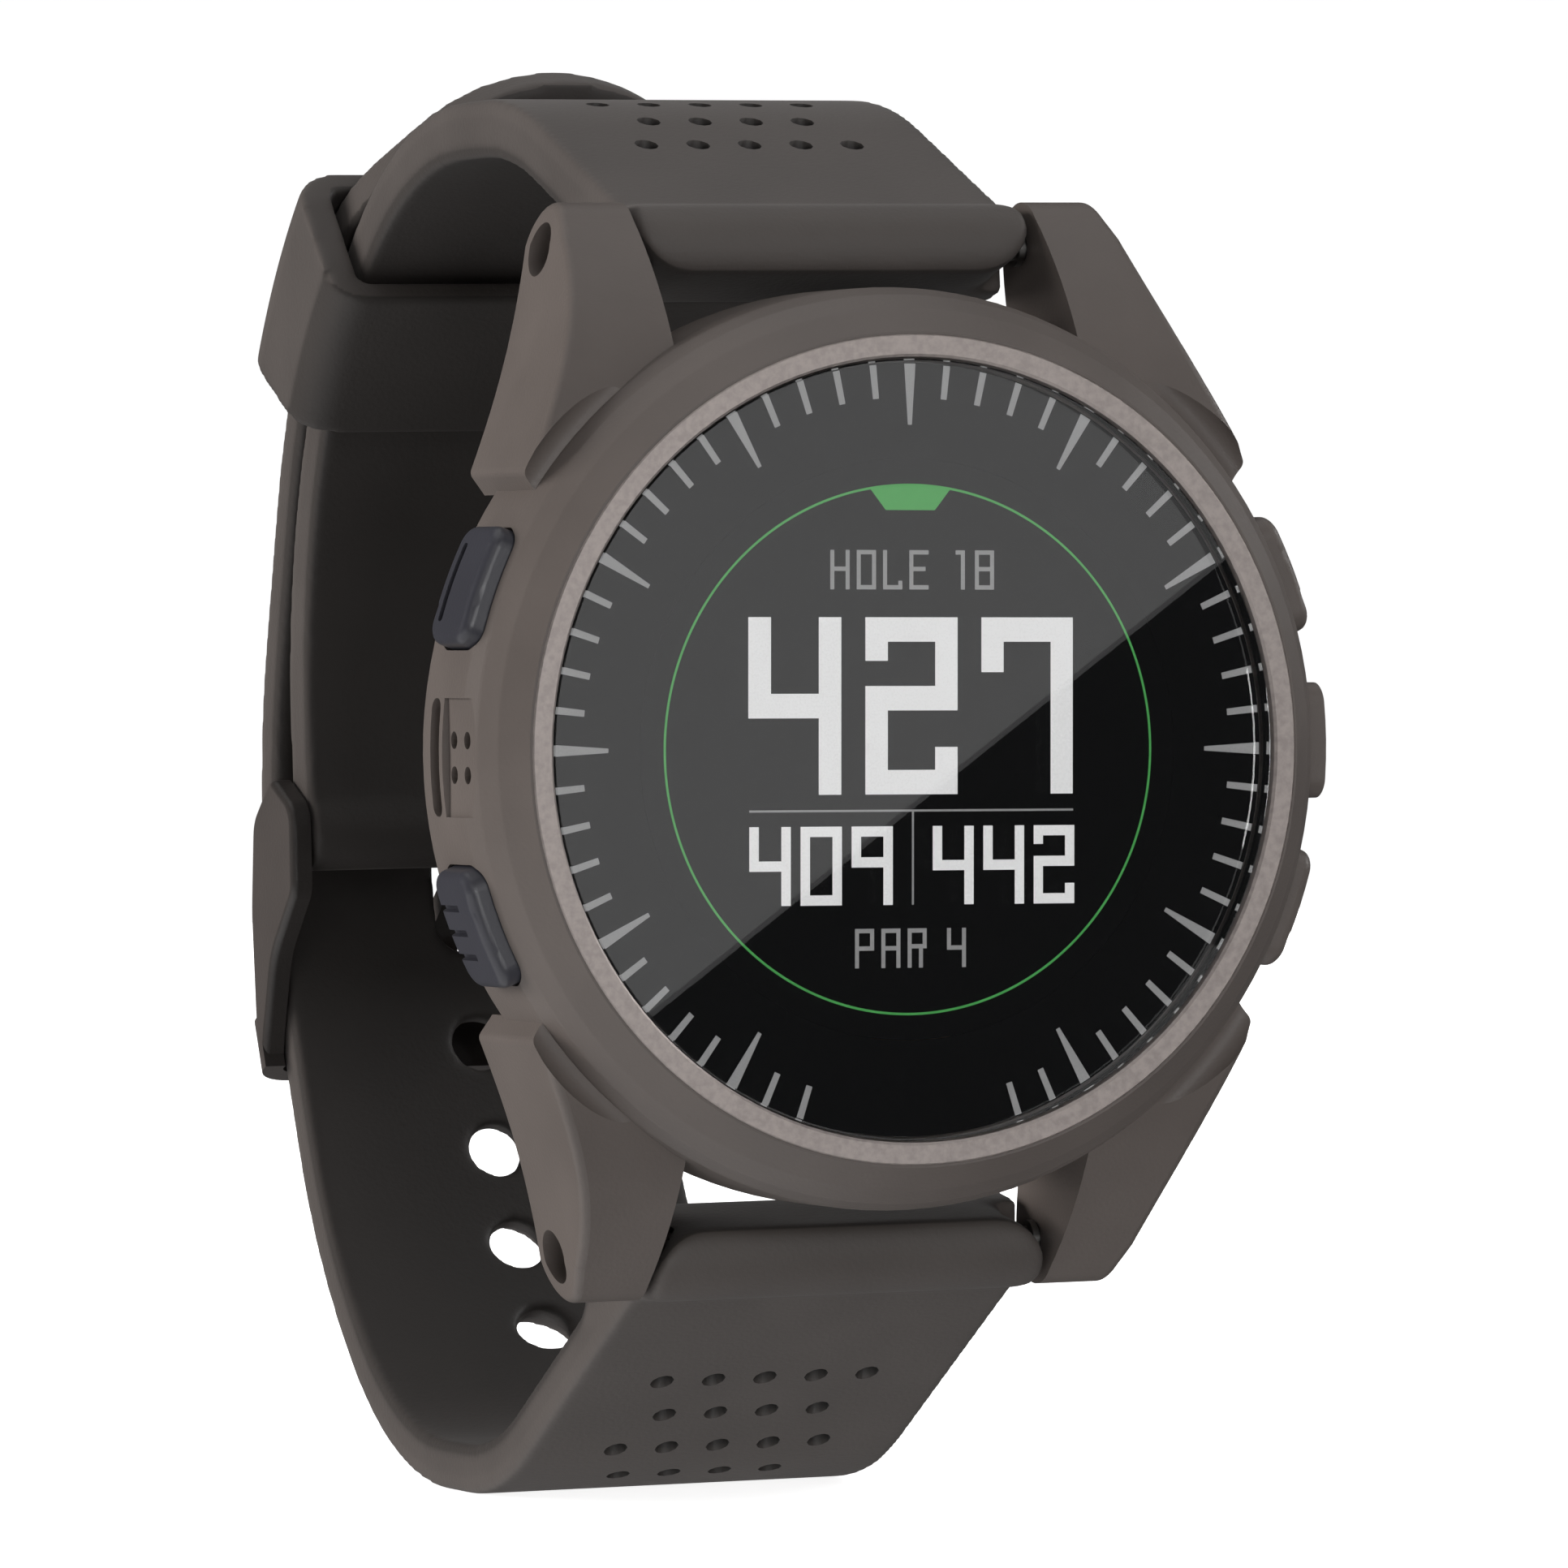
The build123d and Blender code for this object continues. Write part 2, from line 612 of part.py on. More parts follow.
def corner_waste(side_x, side_y, radius):
    """What is cut away to round a corner at the strap's edge, in a plane square to the nose."""
    middle = BARREL_W / 2 - radius / 2 + 0.1
    square = Pos(side_x * middle, side_y * (radius / 2 - 0.1)) * Rectangle(radius + 0.2, radius + 0.2)
    return square - Pos(side_x * (BARREL_W / 2 - radius), side_y * radius) * Circle(radius)


def part_of(shape, start, end):
    """The length of a strap that lies between two depths."""
    return shape & block((-20, 20), (start, end), (-60, 60))


def upper_strap():
    """The short strap, which carries the buckle: its lug end, and the rest beyond the bend."""
    whole = side_profile(band(UPPER_OUTER, -UPPER_T), STRAP_W)
    front = part_of(whole, 0, FLEX_DEPTH_TOP - FLEX_GAP / 2)
    front = strap_nose(front, UPPER_NOSE_R, UPPER_EDGE_Z, UPPER_HEEL, TUBE_R + 0.07)
    eye = rod(PIN_BARREL_R, -STRAP_W / 2, STRAP_W / 2, PIN_DEPTH, PIN_Z)
    back = part_of(whole, FLEX_DEPTH_TOP + FLEX_GAP / 2, 70) + eye
    back -= rod(PIN_R + 0.08, -12, 12, PIN_DEPTH, PIN_Z)
    back -= block((-1.4, 1.4), (PIN_DEPTH - 3, PIN_DEPTH + 3), (PIN_Z - 3, PIN_Z + 2.5))
    return one(front), one(back)


def strap_hole(run, stretch):
    """A hole square to the lower strap, at a distance along it from the spring bar."""
    outline = LOWER_OUTER.wire()
    place = outline.position_at(run, position_mode=PositionMode.LENGTH)
    along = outline.tangent_at(run, position_mode=PositionMode.LENGTH)
    inward = Vector(0, -along.Y, along.X)
    plane = Plane(origin=(0, place.X, place.Y), x_dir=(0, along.X, along.Y), z_dir=inward)
    wide_r = HOLE_R + HOLE_FLARE
    shape = Circle(HOLE_R) if stretch == 0 else SlotCenterToCenter(2 * stretch, 2 * HOLE_R)
    flare = Circle(wide_r) if stretch == 0 else SlotCenterToCenter(2 * stretch, 2 * wide_r)
    through = extrude(plane * shape, 2 * LOWER_T, both=True)
    return through + extrude(plane * flare, FLARE_DEPTH) + extrude(plane * flare, -LOWER_T)


def lower_strap():
    """The long strap with the adjustment holes: its lug end, and the rest beyond the bend."""
    whole = side_profile(band(LOWER_OUTER, LOWER_T), STRAP_W)
    end = LOWER_OUTER.end
    lug_end = block((-20, 20), (0, FLEX_DEPTH_BOTTOM - FLEX_GAP / 2), (-60, 0))
    front = mirror(whole & lug_end, Plane.XY)
    front = mirror(strap_nose(front, LOWER_NOSE_R, LOWER_EDGE_Z, LOWER_HEEL, TUBE_R + 0.25), Plane.XY)
    back = whole - block((-20, 20), (0, FLEX_DEPTH_BOTTOM + FLEX_GAP / 2), (-60, 0))
    for i in range(HOLES_BELOW):
        back -= strap_hole(FIRST_HOLE + i * HOLE_PITCH, 0)
    back -= strap_hole(TONGUE_SLOT, SLOT_STRETCH)
    for i in range(HOLES_ABOVE):
        back -= strap_hole(TONGUE_SLOT + HOLE_PITCH * (i + 1.2), 0)
    back -= tail_trim(end)
    return one(front), one(back)


def tail_trim(end):
    """What is cut from the square end to leave the rounded tip."""
    tip = Ellipse(STRAP_W / 2, TIP_ROUNDING)
    corner_box = Pos(0, TIP_ROUNDING / 2) * Rectangle(STRAP_W + 2, TIP_ROUNDING + 1)
    ux, uz = unit(TIP_ANGLE)
    plane = Plane(
        origin=(0, y_of(end[0]) - TIP_ROUNDING * ux, end[1] - TIP_ROUNDING * uz),
        x_dir=(1, 0, 0),
        z_dir=(0, -uz, ux),
    )
    return extrude(plane * (corner_box - tip), 6, both=True)


def keeper_loop():
    low = ARC_R - UPPER_T - KEEPER_SLACK
    high = ARC_R + LAYER_GAP + LOWER_T + 0.2
    start = KEEPER_MIDDLE - KEEPER_HALF
    ux, uz = unit(start)
    radius = (low + high) / 2
    plane = Plane(
        origin=(0, y_of(ARC_CENTRE[0]) + radius * ux, ARC_CENTRE[1] + radius * uz),
        x_dir=(1, 0, 0),
        z_dir=(0, -uz, ux),
    )
    shift = (KEEPER_OUTER_WALL - KEEPER_INNER_WALL) / 2
    outline = Pos(0, shift) * RectangleRounded(KEEPER_W, high - low + KEEPER_INNER_WALL + KEEPER_OUTER_WALL, 1.9)
    window = RectangleRounded(STRAP_W + 2 * KEEPER_PLAY, high - low, 0.5)
    axle = Axis((0, y_of(ARC_CENTRE[0]), ARC_CENTRE[1]), (1, 0, 0))
    return one(revolve(plane * (outline - window), axle, 2 * KEEPER_HALF))


# ---- buckle ----
def buckle_frame():
    """Two arms that hang from the pin and a cross bar that bends round into them."""
    points = [
        (56.3, -1.7),
        (58.9, -3.9),
        (59.35, -8.5),
        (58.9, -14.2),
        (57.9, -16.9),
        (57.4, -14.5),
        (56.2, -10.6),
        (53.1, -7.4),
        (53.2, -3.2),
    ]
    radii = [0.8, 1.8, 8.0, 6.0, 0.35, 4.0, 4.0, 1.2, 1.5]
    outline = make_face(FilletPolyline(*[(y_of(d), z) for d, z in points], radius=radii, close=True))
    arm_w = FRAME_HALF - FRAME_GAP_HALF
    arm_x = (FRAME_HALF + FRAME_GAP_HALF) / 2
    arm = fillet(side_profile(outline, arm_w, arm_x).edges().group_by(Axis.X)[-1], 0.35)
    ux, uz = unit(BAR_TILT)
    across = Plane(origin=(0, y_of(BAR_CENTRE[0]), BAR_CENTRE[1]), x_dir=(1, 0, 0), z_dir=(0, ux, uz))
    outer = Pos(0, BAR_T / 2 - 3) * RectangleRounded(2 * FRAME_HALF, 6, FRAME_CORNER)
    inner = Pos(0, -BAR_T / 2 - 3) * RectangleRounded(2 * FRAME_GAP_HALF, 6, FRAME_CORNER - BAR_T)
    behind = Pos(0, -4.6) * Rectangle(2 * FRAME_HALF + 1, 6)
    bar = extrude(across * (outer - inner - behind), BAR_TALL / 2, both=True)
    body = one(bar + arm + mirror(arm, Plane.YZ))
    return one(body - rod(PIN_R, -PIN_HALF - 0.05, PIN_HALF + 0.05, PIN_DEPTH, PIN_Z))


def buckle_pin():
    return rod(PIN_R, -PIN_HALF, PIN_HALF, PIN_DEPTH, PIN_Z)


def buckle_tongue():
    strip = bent_strip([(PIN_DEPTH, PIN_Z), (61.6, -9.9), (61.5, -17.4)], [1.6], TONGUE_T)
    body = side_profile(strip, TONGUE_W) + rod(1.5, -1.0, 1.0, PIN_DEPTH, PIN_Z)
    return one(body - rod(PIN_R + 0.05, -3, 3, PIN_DEPTH, PIN_Z))


def all_parts():
    upper_front, upper_back = upper_strap()
    lower_front, lower_back = lower_strap()
    parts = {
        "case_shell": case_shell(),
        "bezel_ring": bezel_ring(),
        "lens": lens(),
        "printed_mask": printed_mask(),
        "lens_gasket": lens_gasket(),
        "display_panel": display_panel(),
        "display_ribbon": display_ribbon(),
        "inner_frame": inner_frame(),
        "main_board": main_board(),
        "gps_antenna": gps_antenna(),
        "battery_cell": battery_cell(),
        "vibration_motor": vibration_motor(),
        "contact_block": contact_block(),
        "charge_contacts": charge_contacts(),
        "case_back": case_back(),
        "back_gasket": back_gasket(),
        "case_screws": case_screws(),
        "button_seals": button_seals(),
        "button_switches": button_switches(),
        "upper_strap_lug_end": upper_front,
        "upper_strap": upper_back,
        "lower_strap_lug_end": lower_front,
        "lower_strap": lower_back,
        "keeper_loop": keeper_loop(),
        "buckle_frame": buckle_frame(),
        "buckle_pin": buckle_pin(),
        "buckle_tongue": buckle_tongue(),
    }
    for name, angle in button_angles().items():
        parts[f"{name}_button"] = around(button(name.startswith("upper")), angle)
        parts[f"{name}_button_clip"] = around(button_clip(), angle)
    for name, z in (("upper", BAR_Z), ("lower", -BAR_Z)):
        parts[f"{name}_spring_bar_tube"] = spring_bar_tube(z)
        parts[f"{name}_spring_bar_coil"] = spring_bar_coil(z)
        parts[f"{name}_spring_bar_right_tip"] = spring_bar_tip(z, 1)
        parts[f"{name}_spring_bar_left_tip"] = spring_bar_tip(z, -1)
    return parts


for node, shape in all_parts().items():
    export_step(shape, f"parts/{node}.step")
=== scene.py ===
import json
import math

import bmesh
import bpy
from mathutils import Matrix, Vector


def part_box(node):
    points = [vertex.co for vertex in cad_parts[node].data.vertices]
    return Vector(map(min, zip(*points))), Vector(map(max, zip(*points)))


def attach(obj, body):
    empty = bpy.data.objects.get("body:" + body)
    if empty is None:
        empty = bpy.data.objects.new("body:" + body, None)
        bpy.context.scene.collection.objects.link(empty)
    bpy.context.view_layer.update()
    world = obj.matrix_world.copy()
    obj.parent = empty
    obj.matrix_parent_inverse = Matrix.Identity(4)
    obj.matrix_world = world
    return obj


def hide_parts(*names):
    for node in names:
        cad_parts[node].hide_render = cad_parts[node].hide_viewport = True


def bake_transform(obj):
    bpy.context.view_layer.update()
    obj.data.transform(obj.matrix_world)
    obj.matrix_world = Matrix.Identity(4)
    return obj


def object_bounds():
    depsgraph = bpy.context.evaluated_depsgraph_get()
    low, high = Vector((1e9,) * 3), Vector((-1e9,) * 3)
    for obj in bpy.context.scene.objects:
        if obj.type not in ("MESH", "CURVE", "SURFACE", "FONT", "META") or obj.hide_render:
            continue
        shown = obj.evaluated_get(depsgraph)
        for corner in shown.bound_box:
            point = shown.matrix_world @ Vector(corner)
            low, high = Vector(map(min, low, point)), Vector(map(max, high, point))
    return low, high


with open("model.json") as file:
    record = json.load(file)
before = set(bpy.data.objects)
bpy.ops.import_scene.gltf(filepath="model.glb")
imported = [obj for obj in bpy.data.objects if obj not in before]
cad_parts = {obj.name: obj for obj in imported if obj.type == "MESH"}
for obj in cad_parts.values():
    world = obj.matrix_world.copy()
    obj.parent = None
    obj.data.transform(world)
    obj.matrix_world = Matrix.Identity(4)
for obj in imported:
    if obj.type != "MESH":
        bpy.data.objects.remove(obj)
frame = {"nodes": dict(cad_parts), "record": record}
cad_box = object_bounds()

# A golf GPS watch, buckled closed. The row frame has the case back at y = 0, the dial towards -Y,
# 3 o'clock at +X and 12 o'clock at +Z. Sizes are in millimetres and become metres through MM,
# unless a comment says metres.
MM = 0.001
NODES = frame["nodes"]

# ---- dial graphics ----
TICK_OUTER = 17.65
LONG_TICK = (2.8, 0.56, 0.2)        # length, width at the outer end, width at the inner end
SHORT_TICK = (1.55, 0.34, 0.3)
MISSING_TICKS = range(28, 33)        # the foot of the dial is left plain
MINUTE_TURN = 6                      # degrees
RING_R = 12.1
RING_LINE = 0.11
RING_STEPS = 240
DIAL_TURN = -0.9                     # degrees, clockwise
SPACE_WIDTH = 0.5                    # of the pitch between glyphs
INK_GAP = 0.02                       # graphics lie this far behind the glass
DISPLAY_EDGE = 13.32                 # inner edge of the printed ring
PRINT_STEPS = 144
NORTH_MARKER = [(-1.2, 10.95), (1.25, 10.95), (2.05, 11.95), (0, 12.15), (-2.0, 11.95)]
RULE_ACROSS = (-7.95, 8.2, -2.84, -2.74)     # the rules' limits: left, right, foot, head
RULE_UPRIGHT = (0.11, 0.21, -7.1, -2.84)

# ---- strap skin ----
STRAP_VOXEL = 0.22                   # the grid a moulding is rebuilt on, and the rounds of easing
STRAP_ROUNDS = 14
KEEPER_VOXEL = 0.2
KEEPER_ROUNDS = 12
EASE_FACTOR = 0.5
MERGE_DISTANCE = 0.0001
END_DEPTH = 0.02                     # what counts as the flat end of a lug end, and how far
END_SHIFT = 0.5                      # it moves to meet the rest of its strap
SHARP_ANGLE = 40                     # degrees
DIMPLE_PITCH = 2.63
DIMPLE_R = 0.58
DIMPLE_DEEP = 3.0                    # how much deeper than round
UPPER_DIMPLES = [(6.1, 5), (9.0, 4), (12.2, 5)]
LOWER_DIMPLES = [(6.4, 5), (9.4, 4), (12.4, 5), (15.4, 4)]
RAY_START = 0.06                     # metres; outside the strap, above or below

# ---- camera: where it stands seen from the dial's centre ----
CAMERA_YAW = 22.833                  # degrees to the 9 o'clock side
CAMERA_PITCH = 1.105
CAMERA_ROLL = 0.8194
CAMERA_DISTANCE = 495.5
CAMERA_SIDE = 6.199                  # the aim passes this far beside and below the dial's centre
CAMERA_DROP = 1.561
IMAGE_SIZE = 1932
FOCAL_PIXELS = 27.0 * CAMERA_DISTANCE
SENSOR_WIDTH = 36
CLIP = (0.01, 50)                    # metres

# ---- studio ----
WHITE = (1, 1, 1)
WARM = (1.0, 0.98, 0.96)
LIGHT_AIM = (0, 0.02, 0)             # metres
# Each light: name, place and size in metres, power in watts, colour, whether surfaces mirror it.
LIGHTS = [
    ("overhead", (0, 0, 2.6), (3.2, 3.2), 25.0, WHITE, True),
    ("left", (-1.2, 0.55, 0.3), (0.7, 0.7), 18.5, WARM, False),
    ("key", (-0.75, -0.95, 0.45), (0.5, 0.5), 0.9, WARM, True),
    ("front_low", (-0.1, -1.1, 0.0), (0.5, 0.2), 3.2, WHITE, True),
    ("right", (1.0, -0.1, 0.4), (0.4, 0.4), 3.0, WHITE, True),
    ("under", (-0.4, 0.0, -0.7), (1.6, 1.6), 6.4, WHITE, True),
    ("behind", (0.7, 1.2, 0.4), (0.8, 0.8), 6.0, WHITE, False),
]
GLARE_EDGE = ((15.65, 8.47), (-12.64, -11.39))   # where the card's edge shows on the glass
CARD_DISTANCE = 0.5                  # metres
CARD_SIZE = 0.42                     # metres
CARD_POWER = 0.45
WORLD_COLOUR = (0.95, 0.97, 1.0, 1)
WORLD_STRENGTH = 0.06
FLOOR_R = 900
FLOOR_GREY = (0.87, 0.89)
FLOOR_GLOW = 0.95
FLOOR_ROUGHNESS = 0.8
BACKDROP_R = 3000
BACKDROP_FOOT = 1000                 # below the floor
BACKDROP_TOP = 4000
ROUND_STEPS = 96

# ---- surface finishes and painted shade; noise scales count features per metre ----
RAMP_ENDS = (0.35, 0.65)
# painted shade: darker on the sides facing into the strap's loop and at the bottom of dimples and holes
LOOP_CENTRE = (0, 0.0173, -0.002)    # metres; the middle of the strap's loop
LOOP_SHADE_FADE = (-0.004, 0.001)         # metres; the painted shade fades from facing into the loop to facing out of it
CREVICE_REACH = 0.002                # metres
CREVICE_SAMPLES = 8
CREVICE_SHADE_FADE = (0.4, 0.85)           # how open a place is, where the painted shade is full and where it ends
CREVICE_SHADE_DARK = 0.05
MOTTLE_SCALE = 160
MOTTLE = 0.06
MOULDED_GLOSS = (-0.03, 0.04)        # how far roughness varies
MOULDED_BUMP = 0.35
COAT_ROUGHNESS = 0.3
METAL_SCALE = 3500
METAL_TONE = (0.88, 1.08)
METAL_GLOSS = (-0.05, 0.07)
METAL_BUMP = 0.3
METAL_GRAIN = 0.02
GLASS_TINT_SCALE = 60
GLASS_TINT = (0.985, 1.0)
INK_SCALE = 9000
INK_TONE = (0.96, 1.03)
INK_ROUGHNESS = 0.6
FLOOR_SCALE = 30


# ---------------------------------------------------------------- materials
def new_material(name):
    material = bpy.data.materials.new(name)
    material.use_nodes = True
    return material, material.node_tree.nodes, material.node_tree.links


def noise(nodes, links, scale, detail=4.0, stretch=(1, 1, 1)):
    """A noise texture in object space."""
    where = nodes.new("ShaderNodeTexCoord")
    mapping = nodes.new("ShaderNodeMapping")
    mapping.inputs["Scale"].default_value = stretch
    texture = nodes.new("ShaderNodeTexNoise")
    texture.inputs["Scale"].default_value = scale
    texture.inputs["Detail"].default_value = detail
    links.new(where.outputs["Object"], mapping.inputs["Vector"])
    links.new(mapping.outputs["Vector"], texture.inputs["Vector"])
    return texture


def ramp(nodes, links, source, low, high):
    """A colour ramp between two colours, or two grey levels."""
    node = nodes.new("ShaderNodeValToRGB")
    for element, position, value in zip(node.color_ramp.elements, RAMP_ENDS, (low, high)):
        element.position = position
        element.color = (value, value, value, 1) if isinstance(value, float) else (*value, 1)
    links.new(source, node.inputs["Fac"])
    return node


def fade(nodes, links, source, ends, low):
    """A grey level that rises from low to 1 as the source goes from one end to the other."""
    level = nodes.new("ShaderNodeMapRange")
    level.inputs["From Min"].default_value = ends[0]
    level.inputs["From Max"].default_value = ends[1]
    level.inputs["To Min"].default_value = low
    links.new(source, level.inputs["Value"])
    return level.outputs["Result"]


def tinted(colour, factor):
    return tuple(channel * factor for channel in colour)


def loop_shade(nodes, links, factor):
    """Painted shade: a grey level that is 1 on surfaces facing out of the strap's loop and factor on those
    facing in.
    """
    where = nodes.new("ShaderNodeTexCoord")
    offset = nodes.new("ShaderNodeVectorMath")
    offset.operation = "SUBTRACT"
    offset.inputs[1].default_value = LOOP_CENTRE
    flat = nodes.new("ShaderNodeVectorMath")
    flat.operation = "MULTIPLY"
    flat.inputs[1].default_value = (0, 1, 1)
    facing = nodes.new("ShaderNodeVectorMath")
    facing.operation = "DOT_PRODUCT"
    links.new(where.outputs["Object"], offset.inputs[0])
    links.new(offset.outputs["Vector"], flat.inputs[0])
    links.new(flat.outputs["Vector"], facing.inputs[0])
    links.new(where.outputs["Normal"], facing.inputs[1])
    return fade(nodes, links, facing.outputs["Value"], LOOP_SHADE_FADE, factor)


def crevice_shade(nodes, links):
    """Painted shade: a grey level that falls towards the bottom of dimples and holes in the same piece."""
    shade = nodes.new("ShaderNodeAmbientOcclusion")
    shade.only_local = True
    shade.samples = CREVICE_SAMPLES
    shade.inputs["Distance"].default_value = CREVICE_REACH
    return fade(nodes, links, shade.outputs["AO"], CREVICE_SHADE_FADE, CREVICE_SHADE_DARK)


def multiplied(nodes, links, colour_out, factor_out):
    shade = nodes.new("ShaderNodeVectorMath")
    shade.operation = "SCALE"
    links.new(colour_out, shade.inputs[0])
    links.new(factor_out, shade.inputs["Scale"])
    return shade.outputs["Vector"]


def add_bump(nodes, links, shader, height_out, strength, depth):
    bump = nodes.new("ShaderNodeBump")
    bump.inputs["Strength"].default_value = strength
    bump.inputs["Distance"].default_value = depth * MM
    links.new(height_out, bump.inputs["Height"])
    links.new(bump.outputs["Normal"], shader.inputs["Normal"])


def moulded(name, colour, roughness, grain_scale=5200, grain=0.04, sheen=0.0, coat=0.0, specular=0.5,
            inner=None):
    """Moulded or cast surface: faint mottling, a fine grain in the bump and uneven gloss; where inner is
    given, also painted shade on sides facing into the strap's loop and in dimples and holes.
    """
    material, nodes, links = new_material(name)
    shader = nodes["Principled BSDF"]
    broad = noise(nodes, links, MOTTLE_SCALE)
    tone = ramp(nodes, links, broad.outputs["Fac"], tinted(colour, 1 - MOTTLE), tinted(colour, 1 + MOTTLE))
    colour_out = tone.outputs["Color"]
    # painted shade: darker on sides facing into the strap's loop, and darker in dimples and holes
    if inner:
        colour_out = multiplied(nodes, links, colour_out, loop_shade(nodes, links, inner))
        colour_out = multiplied(nodes, links, colour_out, crevice_shade(nodes, links))
    links.new(colour_out, shader.inputs["Base Color"])
    fine = noise(nodes, links, grain_scale, 3.0)
    smooth, rough = (roughness + change for change in MOULDED_GLOSS)
    gloss = ramp(nodes, links, broad.outputs["Fac"], smooth, rough)
    links.new(gloss.outputs["Color"], shader.inputs["Roughness"])
    add_bump(nodes, links, shader, fine.outputs["Fac"], MOULDED_BUMP, grain)
    shader.inputs["Specular IOR Level"].default_value = specular
    shader.inputs["Sheen Weight"].default_value = sheen
    shader.inputs["Coat Weight"].default_value = coat
    shader.inputs["Coat Roughness"].default_value = COAT_ROUGHNESS
    return material


def metal(name, colour, roughness, stretch=(1, 1, 1), metallic=1.0):
    """Metal with a fine blasted or brushed finish."""
    material, nodes, links = new_material(name)
    shader = nodes["Principled BSDF"]
    shader.inputs["Metallic"].default_value = metallic
    fine = noise(nodes, links, METAL_SCALE, 5.0, stretch)
    dark, light = (tinted(colour, factor) for factor in METAL_TONE)
    tone = ramp(nodes, links, fine.outputs["Fac"], dark, light)
    links.new(tone.outputs["Color"], shader.inputs["Base Color"])
    smooth, rough = (roughness + change for change in METAL_GLOSS)
    gloss = ramp(nodes, links, fine.outputs["Fac"], smooth, rough)
    links.new(gloss.outputs["Color"], shader.inputs["Roughness"])
    add_bump(nodes, links, shader, fine.outputs["Fac"], METAL_BUMP, METAL_GRAIN)
    return material


def cover_glass():
    """Clear polished glass with the faintest uneven tint."""
    material, nodes, links = new_material("glass")
    shader = nodes["Principled BSDF"]
    shader.inputs["Transmission Weight"].default_value = 1.0
    shader.inputs["IOR"].default_value = 1.5
    shader.inputs["Roughness"].default_value = 0.0
    tint = ramp(nodes, links, noise(nodes, links, GLASS_TINT_SCALE).outputs["Fac"], *GLASS_TINT)
    links.new(tint.outputs["Color"], shader.inputs["Base Color"])
    return material


def glowing_ink(name, colour):
    """Dial graphics: an even colour with a faint grain, given a painted glow in that colour though they are no
    lamp.
    """
    material, nodes, links = new_material(name)
    shader = nodes["Principled BSDF"]
    shader.inputs["Roughness"].default_value = INK_ROUGHNESS
    # painted light: the graphics glow in their own colour
    shader.inputs["Emission Strength"].default_value = 1.0
    grain = noise(nodes, links, INK_SCALE, 1.0)
    dark, light = (tinted(colour, factor) for factor in INK_TONE)
    tone = ramp(nodes, links, grain.outputs["Fac"], dark, light)
    links.new(tone.outputs["Color"], shader.inputs["Base Color"])
    links.new(tone.outputs["Color"], shader.inputs["Emission Color"])
    return material


MATERIALS = {
    "case": moulded("case_satin", (0.133, 0.113, 0.103), 0.46, specular=0.4),
    "back": moulded("back_satin", (0.060, 0.053, 0.049), 0.45),
    # inner gives the strap painted shade on its sides facing into the loop and in its dimples and holes
    "strap": moulded("strap_rubber", (0.090, 0.078, 0.072), 0.6, grain_scale=4200, grain=0.06, sheen=0.05,
                     specular=0.45, inner=0.5),
    "dark_button": moulded("button_slate", (0.042, 0.042, 0.052), 0.40, grain=0.02, coat=0.15),
    "black_plastic": moulded("black_plastic", (0.020, 0.020, 0.021), 0.50),
    "gasket": moulded("gasket_rubber", (0.015, 0.015, 0.015), 0.65),
    "print": moulded("print_black", (0.003, 0.003, 0.0033), 0.8, grain=0.0, specular=0.0),
    "display": moulded("display_black", (0.003, 0.003, 0.0033), 0.8, grain=0.0, specular=0.0),
    "ribbon": moulded("ribbon_amber", (0.36, 0.17, 0.04), 0.35),
    "board": moulded("board_green", (0.015, 0.10, 0.045), 0.35),
    "cell": moulded("cell_foil", (0.30, 0.31, 0.33), 0.35),
    # inner gives the buckle the same painted shade on its sides facing into the loop and in its hollows
    "buckle": moulded("buckle_paint", (0.080, 0.069, 0.064), 0.42, coat=0.05, inner=0.45),
    "bezel": metal("bezel_blasted", (0.42, 0.368, 0.348), 0.42, metallic=0.5),
    # painted shade: all steel gets a dark tone so that the spring-bar tips look as dark as the shade they sit
    # in
    "steel": metal("steel_dark", (0.16, 0.155, 0.15), 0.38, stretch=(0.06, 1, 1)),
    "gold": metal("contact_gold", (0.78, 0.55, 0.24), 0.25),
    "antenna": metal("antenna_brass", (0.62, 0.44, 0.20), 0.30),
    "motor": metal("motor_steel", (0.45, 0.45, 0.46), 0.30, stretch=(1, 0.06, 1)),
    "glass": cover_glass(),
}
# dial graphics, each with a painted glow
DIGIT_INK = glowing_ink("digit_ink", (0.50, 0.50, 0.50))
WORD_INK = glowing_ink("word_ink", (0.17, 0.17, 0.17))
TICK_INK = glowing_ink("tick_ink", (0.165, 0.165, 0.165))
RING_INK = glowing_ink("ring_ink", (0.035, 0.21, 0.045))


def dress(node, material):
    """Give a CAD node its material, without touching its mesh."""
    piece = NODES[node]
    if not piece.material_slots:
        piece.data.materials.append(material)
    for material_slot in piece.material_slots:
        material_slot.material = material


for subpart in frame["record"]["subparts"]:
    dress(subpart["node"], MATERIALS[subpart["material_slot"]])


# ---------------------------------------------------------------- mesh helpers
def add_to_scene(name, data):
    piece = bpy.data.objects.new(name, data)
    bpy.context.scene.collection.objects.link(piece)
    return piece


def mesh_object(name, points, faces, material):
    mesh = bpy.data.meshes.new(name)
    mesh.from_pydata([Vector(p) * MM for p in points], [], faces)
    mesh.update()
    piece = add_to_scene(name, mesh)
    mesh.materials.append(material)
    return piece


def apply_modifiers(piece):
    graph = bpy.context.evaluated_depsgraph_get()
    shaped = bpy.data.meshes.new_from_object(piece.evaluated_get(graph))
    piece.modifiers.clear()
    piece.data = shaped


def smooth_shading(piece):
    piece.data.shade_smooth()
    piece.data.set_sharp_from_angle(angle=math.radians(SHARP_ANGLE))


